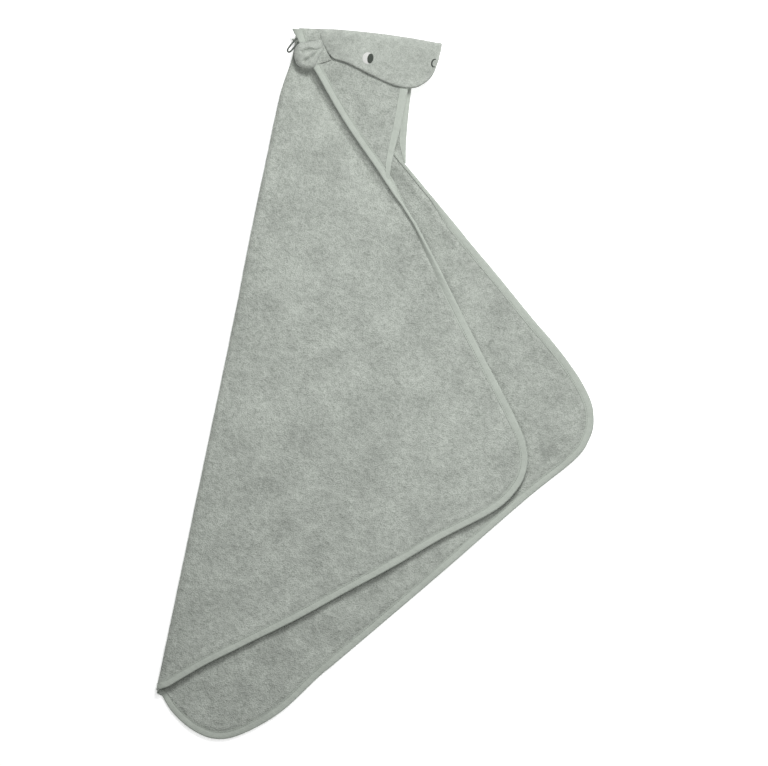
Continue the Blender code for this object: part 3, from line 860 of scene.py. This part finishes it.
def build_face():
    """Face panel over the crown, with its hem turned under and its back edge raised along the seam."""
    grid, shares = face_grid()
    x, s = grid[..., 0], grid[..., 1]
    mid = around_crown(x, np.abs(s), face_swell(x, s), s > 0, FACE_RADIUS)
    free = 1 - np.abs(np.concatenate([-shares[::-1], shares[1:]]))[None, :]
    from_hem = np.minimum(free * np.abs(s[:, -1])[:, None], (CROWN_LENGTH - x) * 1.1 + 0.4)
    from_seam = (lengths(np.column_stack([x[:, 0], x[:, 0] * 0])) + 0.2)[:, None]
    hem = HEM - (HEM - FACE_CLOTH) * step(from_hem, 4.5, 8.5) - 0.5 * bell(from_hem, 8.2, 1.6)
    ridge = 0.9 * bell(from_seam, 2.0, 2.0)
    thickness = (hem + ridge + 0.2 * clouds(x, s, 8, 33)) * rounded(from_hem, 2.6)
    return cloth("face_panel", mid, thickness * rounded(from_seam, 1.6), VELOUR_PILE)


def face_surface(x, y, side):
    """Points on the face panel's outer face."""
    s = spread_from(crown(x) - y, CROWN_DEPTH, FACE_RADIUS)
    near = side == "near"
    lift = FACE_CLOTH / 2 + face_swell(x, s if near else -s)
    return around_crown(x, s, lift, near, FACE_RADIUS)


def disc(name, x, y, over, under, material):
    """Closed pad over rings of points: over and under are its two faces, from middle to rim."""
    rings, columns = x.shape
    top = np.stack([x, y, over], -1)
    low = np.stack([x, y, under], -1)
    stack = np.concatenate([top[1:], low[1:][::-1]])
    count = len(stack) * columns
    faces = grid_faces(len(stack), columns, around=True).tolist()
    k = np.arange(columns)
    follow = (k + 1) % columns
    faces += np.stack([np.full(columns, count), k, follow], -1)[:, ::-1].tolist()
    last = (len(stack) - 1) * columns
    faces += np.stack([np.full(columns, count + 1), last + k, last + follow], -1).tolist()
    points = np.concatenate([stack.reshape(-1, 3), [[x[0, 0], y[0, 0], over[0].mean()]],
                             [[x[0, 0], y[0, 0], under[0].mean()]]])
    uv = points[:, :2] * MM
    return make_mesh(name, points, faces, material, uv)


def stitched_oval(name, centre, size, height, base, side, material):
    """Satin-stitched oval on the face: a low dome with a ridge for each thread."""
    radius = np.sin(np.linspace(0, 1, 20) * math.pi / 2)
    turn = np.linspace(0, math.tau, 72, endpoint=False)
    r, a = np.meshgrid(radius, turn, indexing="ij")
    x = centre[0] + size[0] / 2 * r * np.cos(a)
    y = centre[1] + size[1] / 2 * r * np.sin(a)
    seat = face_surface(x, y, side)
    out = 1 if side == "near" else -1
    ridges = 0.07 * np.cos(x * math.tau / 1.1) * (1 - r ** 6)
    rise = base + height * np.sqrt(np.clip(1 - r ** 2, 0, 1)) + ridges
    return disc(name, seat[..., 0], seat[..., 1], seat[..., 2] + out * rise, seat[..., 2] - out * 0.4,
                material)


EYE_CENTRE, EYE_SIZE = (106.8, -20.6), (14.6, 15.8)
PUPIL_CENTRE, PUPIL_SIZE = (110.2, -20.4), (8.4, 13.4)
NOSTRIL_CENTRE, NOSTRIL_SIZE = (196.2, -8.8), (3.6, 5.2)
NOSTRIL_SPAN = (math.radians(70), math.radians(300))


def build_embroidery(side):
    """Eye, pupil and nostril on one side of the face."""
    white = stitched_oval(f"stitched_eye_{side}", EYE_CENTRE, EYE_SIZE, 0.7, 0.1, side, WHITE_THREAD)
    pupil = stitched_oval(f"stitched_pupil_{side}", PUPIL_CENTRE, PUPIL_SIZE, 0.7, 0.55, side, DARK_THREAD)
    turn = np.linspace(*NOSTRIL_SPAN, 40)
    x = NOSTRIL_CENTRE[0] + NOSTRIL_SIZE[0] * np.cos(turn)
    y = NOSTRIL_CENTRE[1] + NOSTRIL_SIZE[1] * np.sin(turn)
    middle = face_surface(x, y, side)
    out = np.array([0, 0, 1.0 if side == "near" else -1.0])
    flat = unit(np.gradient(middle, axis=0))
    across = unit(np.cross(flat, out))
    taper = 0.45 + 0.55 * np.sin(np.linspace(0.05, 0.95, 40) * math.pi) ** 0.5
    around = np.linspace(0, math.tau, 12, endpoint=False)
    rings = (middle[:, None] + across[:, None] * (taper[:, None] * np.cos(around))[..., None]
             + out * (0.1 + 0.6 * taper[:, None] * np.sin(around))[..., None])
    uv = np.column_stack([np.repeat(lengths(middle), 12), np.tile(around, 40)]) * MM
    nostril = tube(f"stitched_nostril_{side}", rings, DARK_THREAD, uv)
    return white, pupil, nostril


LINING_LEVEL = 20.6


def build_lining(side):
    """Lining of one side of the snout, from the hood's front tape to the face panel's hem."""
    count = 50
    front = curve_through([(198, 8), (199, -3), (196, -20), (185, -36), (172, -42.5)], count)
    back = curve_through([(176, 8), (176.5, -20), (177, -44)], count)
    grid = ruled(back, front, np.linspace(0, 1, 16))
    sag = 0.5 * clouds(grid[..., 0], grid[..., 1], 18, 71)
    mid = np.dstack([grid, on_side(LINING_LEVEL, side) + sag * 0.5])
    return cloth(f"lining_{side}", mid, np.full(mid.shape[:2], LINING), PLAIN_LINING, grid * MM)


# Ears

EAR_MIDDLE = np.array([29.0, -32.0])
EAR_RIM = [
    (39.5, -7.5), (29.3, -13.0), (20.7, -16.2), (12.6, -19.5), (8.6, -24.3), (7.7, -30.9), (9.3, -38.9),
    (12.6, -45.6), (18.7, -50.5), (27.2, -51.7), (34.3, -50.2), (39.5, -46.2), (43.5, -42.0),
    (51.8, -37.2), (59.0, -32.5),
]
EAR_SEAM = [(53, -25.5), (45.5, -16)]
# The front cloth's lobes end short of the seam
LOBE_RIM = [
    (41.0, -8.5), (29.3, -13.0), (20.7, -16.2), (12.6, -19.5), (8.6, -24.3), (7.7, -30.9), (9.3, -38.9),
    (12.6, -45.6), (18.7, -50.5), (27.2, -51.7), (34.3, -50.2), (39.0, -46.2), (41.0, -40.5),
    (43.3, -30), (45.5, -20),
]
EAR_PLEATS = (
    [(18.2, -30.5), (21.5, -27.7), (26.4, -25.8), (31.6, -24.6), (38, -23.6), (45, -19.6)],
    [(23.5, -42), (29.7, -36.9), (33.5, -32.9), (36.9, -27.5), (39, -24.3)],
)
EAR_LOBE = 7.2


def rings_within(rim, middle, count):
    """Rings from a middle point out to a closed rim, closer together towards the rim."""
    share = np.sin(np.linspace(0, 1, count) * math.pi / 2)[:, None, None]
    place = middle + (rim - middle)[None] * share
    return place[..., 0], place[..., 1], share[..., 0]


def puffed(x, y):
    """Height of the ear's lobes, from 0 to 1: each rises like a quarter circle from the pleat lines."""
    height = 1
    for line in EAR_PLEATS:
        line = curve_through(line, 60)
        off = np.hypot(x[..., None] - line[:, 0], y[..., None] - line[:, 1]).min(axis=-1)
        end = np.hypot(x - line[-1, 0], y - line[-1, 1])
        side = np.sqrt(np.clip(1 - (1 - np.minimum((off + 0.1) / 5.6, 1)) ** 2, 0, 1))
        height = np.minimum(height, side + 0.25 * step(end, 9, 0) * (1 - side))
    return height


def ear_rest(x):
    """Height that the ear lies at: on the face's hem, sinking a little to its outer rim."""
    return 22.2 - 2.0 * step(x, 34, 8)


def build_ear(side):
    """One ear: a backing cloth, and a puffed front cloth pleated into three lobes."""
    outline = np.vstack([curve_through(EAR_RIM, 110), EAR_SEAM])
    x, y, share = rings_within(outline, EAR_MIDDLE, 24)
    rim = np.sqrt(np.clip(1 - share ** 3.2, 0, 1))
    back = disc(f"ear_back_{side}", x, y, on_side(ear_rest(x) + EAR_CLOTH * (0.25 + 0.9 * rim), side),
                on_side(ear_rest(x) - 0.2 * rim, side), TERRY_PILE)
    lobe_rim = curve_through(LOBE_RIM + LOBE_RIM[:1], 130)[:-1]
    x, y, share = rings_within(lobe_rim, EAR_MIDDLE, 44)
    rim = np.sqrt(np.clip(1 - share ** 3.4, 0, 1))
    soft = 0.4 * clouds(x, y, 12, 81) + 0.25 * clouds(x, y, 5, 82)
    seam = 0.5 + 0.5 * step(x * 0.82 + y * 0.57, 26, 6)
    lobes = (EAR_LOBE + soft) * rim * seam * puffed(x, y) * (1 if side == "near" else PRESSED)
    seat = ear_rest(x) + EAR_CLOTH * 1.15 * rim + 0.25
    front = disc(f"ear_front_{side}", x, y, on_side(seat + 0.7 * rim + lobes, side), on_side(seat, side),
                 VELOUR_PILE)
    return back, front


# Hanging loop

LOOP_RADIUS = 1.2
# Both ends are sewn in between the tape's plies, at the tip
LOOP_POINTS = [
    (11.5, -9.0, 18.4), (7.0, -14.2, 19.2), (4.4, -18.6, 20.2), (2.1, -23.0, 20.8), (-0.4, -28.0, 21.0),
    (-1.6, -31.6, 21.0), (-0.3, -34.0, 21.0), (2.4, -33.2, 21.0), (4.8, -29.6, 21.0), (7.2, -25.2, 20.8),
    (10.0, -20.4, 20.2), (14.5, -14.0, 18.6),
]


def build_loop():
    """Hanging loop: a hairpin of twisted cord, with the strands' twist in its skin."""
    out = curve_through(LOOP_POINTS, 150)
    tangent = unit(np.gradient(out, axis=0))
    across = unit(np.cross(tangent, [0, 0, 1.0]))
    up = np.cross(across, tangent)
    turn = np.linspace(0, math.tau, 24, endpoint=False)
    run = lengths(out)
    twist = 1 + 0.16 * np.abs(np.cos(1.5 * (turn[None, :] + run[:, None] * math.tau / 6.5)))
    radius = LOOP_RADIUS * twist * 0.9
    rings = out[:, None] + across[:, None] * (radius * np.cos(turn))[..., None] \
        + up[:, None] * (radius * np.sin(turn))[..., None]
    uv = np.column_stack([np.repeat(run, 24), np.tile(turn, len(run))]) * MM
    return tube("hanging_cord", rings, LOOP_THREAD, uv), out


# Putting it together


def stand_in(piece, body, slot, *nodes):
    """A piece on its body, in place of the nodes that it stands for; its slot, the finish named for it, is
    not used.
    """
    if body is None:
        across_crease(piece)
    else:
        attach(piece, body)
    if nodes:
        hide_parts(*nodes)


def across_crease(piece):
    """A piece near the crease where the upper layer folds back: the crease's joint is read, but the piece is
    only baked in place and nothing makes it bend.
    """
    crease = JOINTS["upper_layer_fold_back"]
    out = Vector(crease["axis"]).cross(Vector((0, 0, 1))).normalized()
    if out.x < 0:
        out = -out
    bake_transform(piece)


def place_body():
    """The towelling in its two layers, the tapes on its edge and their stitches."""
    upper, lower, tapes = build_body()
    tape_upper, rows_upper, tape_lower, rows_lower = tapes
    stand_in(upper, None, "cotton_terry", "upper_layer", "upper_flap")
    stand_in(lower, "towel", "cotton_terry", "lower_layer", "spine_fold")
    stand_in(tape_upper, None, "edge_tape", "upper_flap_tape", "near_seam_tape")
    stand_in(tape_lower, "towel", "edge_tape", "lower_layer_tape")
    for row in rows_upper:
        stand_in(row, None, "edge_tape")
    for row in rows_lower:
        stand_in(row, "towel", "edge_tape")
    return upper, lower, tapes


def place_hood():
    """The hood, the tape on its front edge and the face panel over its crown."""
    hood, fronts = build_hood()
    hood_tape = build_hood_tape(fronts)
    face = build_face()
    stand_in(hood, "towel", "cotton_terry", "hood_side_near", "hood_side_far", "hood_crown")
    stand_in(hood_tape, "towel", "edge_tape", "hood_front_tape_near", "hood_front_tape_far")
    stand_in(face, "towel", "velour_terry", "face_panel_near", "face_panel_far", "face_crown")
    return hood, hood_tape


def place_side(side):
    """The embroidery, lining and ear on one side of the head."""
    white, pupil, nostril = build_embroidery(side)
    stand_in(white, "towel", "white_thread", f"eye_white_{side}")
    stand_in(pupil, "towel", "dark_thread", f"eye_pupil_{side}")
    stand_in(nostril, "towel", "dark_thread", f"nostril_{side}")
    lining = build_lining(side)
    stand_in(lining, "towel", "cotton_lining", f"snout_lining_{side}")
    back, front = build_ear(side)
    stand_in(back, f"ear_{side}", "cotton_terry", f"ear_outer_{side}")
    stand_in(front, f"ear_{side}", "velour_terry", f"ear_inner_{side}")


def place_loop():
    """The hanging loop."""
    loop, route = build_loop()
    route = placed(route)
    stand_in(loop, "hanging_loop", "loop_cord", "hanging_loop")


# Stage

VIEW_TURN = math.radians(11.83)
VIEW_CENTRE = Vector((-0.03375, 0.0248, 0))
CAMERA_HEIGHT = 6.0
LENS = 207.7
FLOOR_REACH = 6.0
# Name, then how far up the view, right and above the ground it stands and how far up and right it
# is aimed, in metres from the middle of the view, its width in metres and its power in watts
LIGHTS = [
    ("key", (1.45, 0.45, 1.7), (0.2, 0), 0.7, 37),
    ("top", (-0.02, 0.1, 1.0), (-0.02, 0.1), 0.8, 4.7),
]


def build_floor():
    """Pale floor that gives off a little light of its own, so that it stays white to its edges."""
    mesh = bpy.data.meshes.new("floor")
    corners = [(x * FLOOR_REACH, y * FLOOR_REACH, 0) for x, y in ((-1, -1), (1, -1), (1, 1), (-1, 1))]
    mesh.from_pydata(corners, [], [(0, 1, 2, 3)])
    floor = bpy.data.objects.new("floor", mesh)
    bpy.context.scene.collection.objects.link(floor)
    paper, tree, shader = start_material("lit white paper", 0.9, 0.0)
    shader.inputs["Base Color"].default_value = linear("#f4f4f4")
    shader.inputs["Emission Color"].default_value = (1, 1, 1, 1)
    shader.inputs["Emission Strength"].default_value = 0.5
    mesh.materials.append(paper)


def build_lights(right, up):
    """Broad soft key light from beyond the tip, a weak one above, and a dim even surround."""
    world = bpy.data.worlds.new("studio")
    world.use_nodes = True
    background = world.node_tree.nodes["Background"]
    background.inputs["Color"].default_value = (1, 1, 1, 1)
    background.inputs["Strength"].default_value = 0.14
    bpy.context.scene.world = world
    for name, stand, aim, size, power in LIGHTS:
        light = bpy.data.lights.new(name, "AREA")
        light.shape = "DISK"
        light.size = size
        light.energy = power
        lamp = bpy.data.objects.new(name, light)
        lamp.location = VIEW_CENTRE + up * stand[0] + right * stand[1] + Vector((0, 0, stand[2]))
        target = VIEW_CENTRE + up * aim[0] + right * aim[1]
        lamp.rotation_euler = (target - lamp.location).to_track_quat("-Z", "Y").to_euler()
        lamp.visible_camera = False
        bpy.context.scene.collection.objects.link(lamp)


def build_camera():
    """Long lens straight above, turned so that the snout points to the right."""
    lens = bpy.data.cameras.new("camera")
    lens.lens = LENS
    lens.sensor_width = 36
    camera = bpy.data.objects.new("camera", lens)
    camera.location = VIEW_CENTRE + Vector((0, 0, CAMERA_HEIGHT))
    camera.rotation_euler = (0, 0, VIEW_TURN)
    bpy.context.scene.collection.objects.link(camera)
    bpy.context.scene.camera = camera
    bpy.context.scene.view_settings.view_transform = "Standard"


upper_layer, lower_layer, edge_tapes = place_body()
hood_panel, front_tape = place_hood()
for head_side in ("near", "far"):
    place_side(head_side)
place_loop()
build_floor()
build_lights(Vector((math.cos(VIEW_TURN), math.sin(VIEW_TURN), 0)),
             Vector((-math.sin(VIEW_TURN), math.cos(VIEW_TURN), 0)))
build_camera()
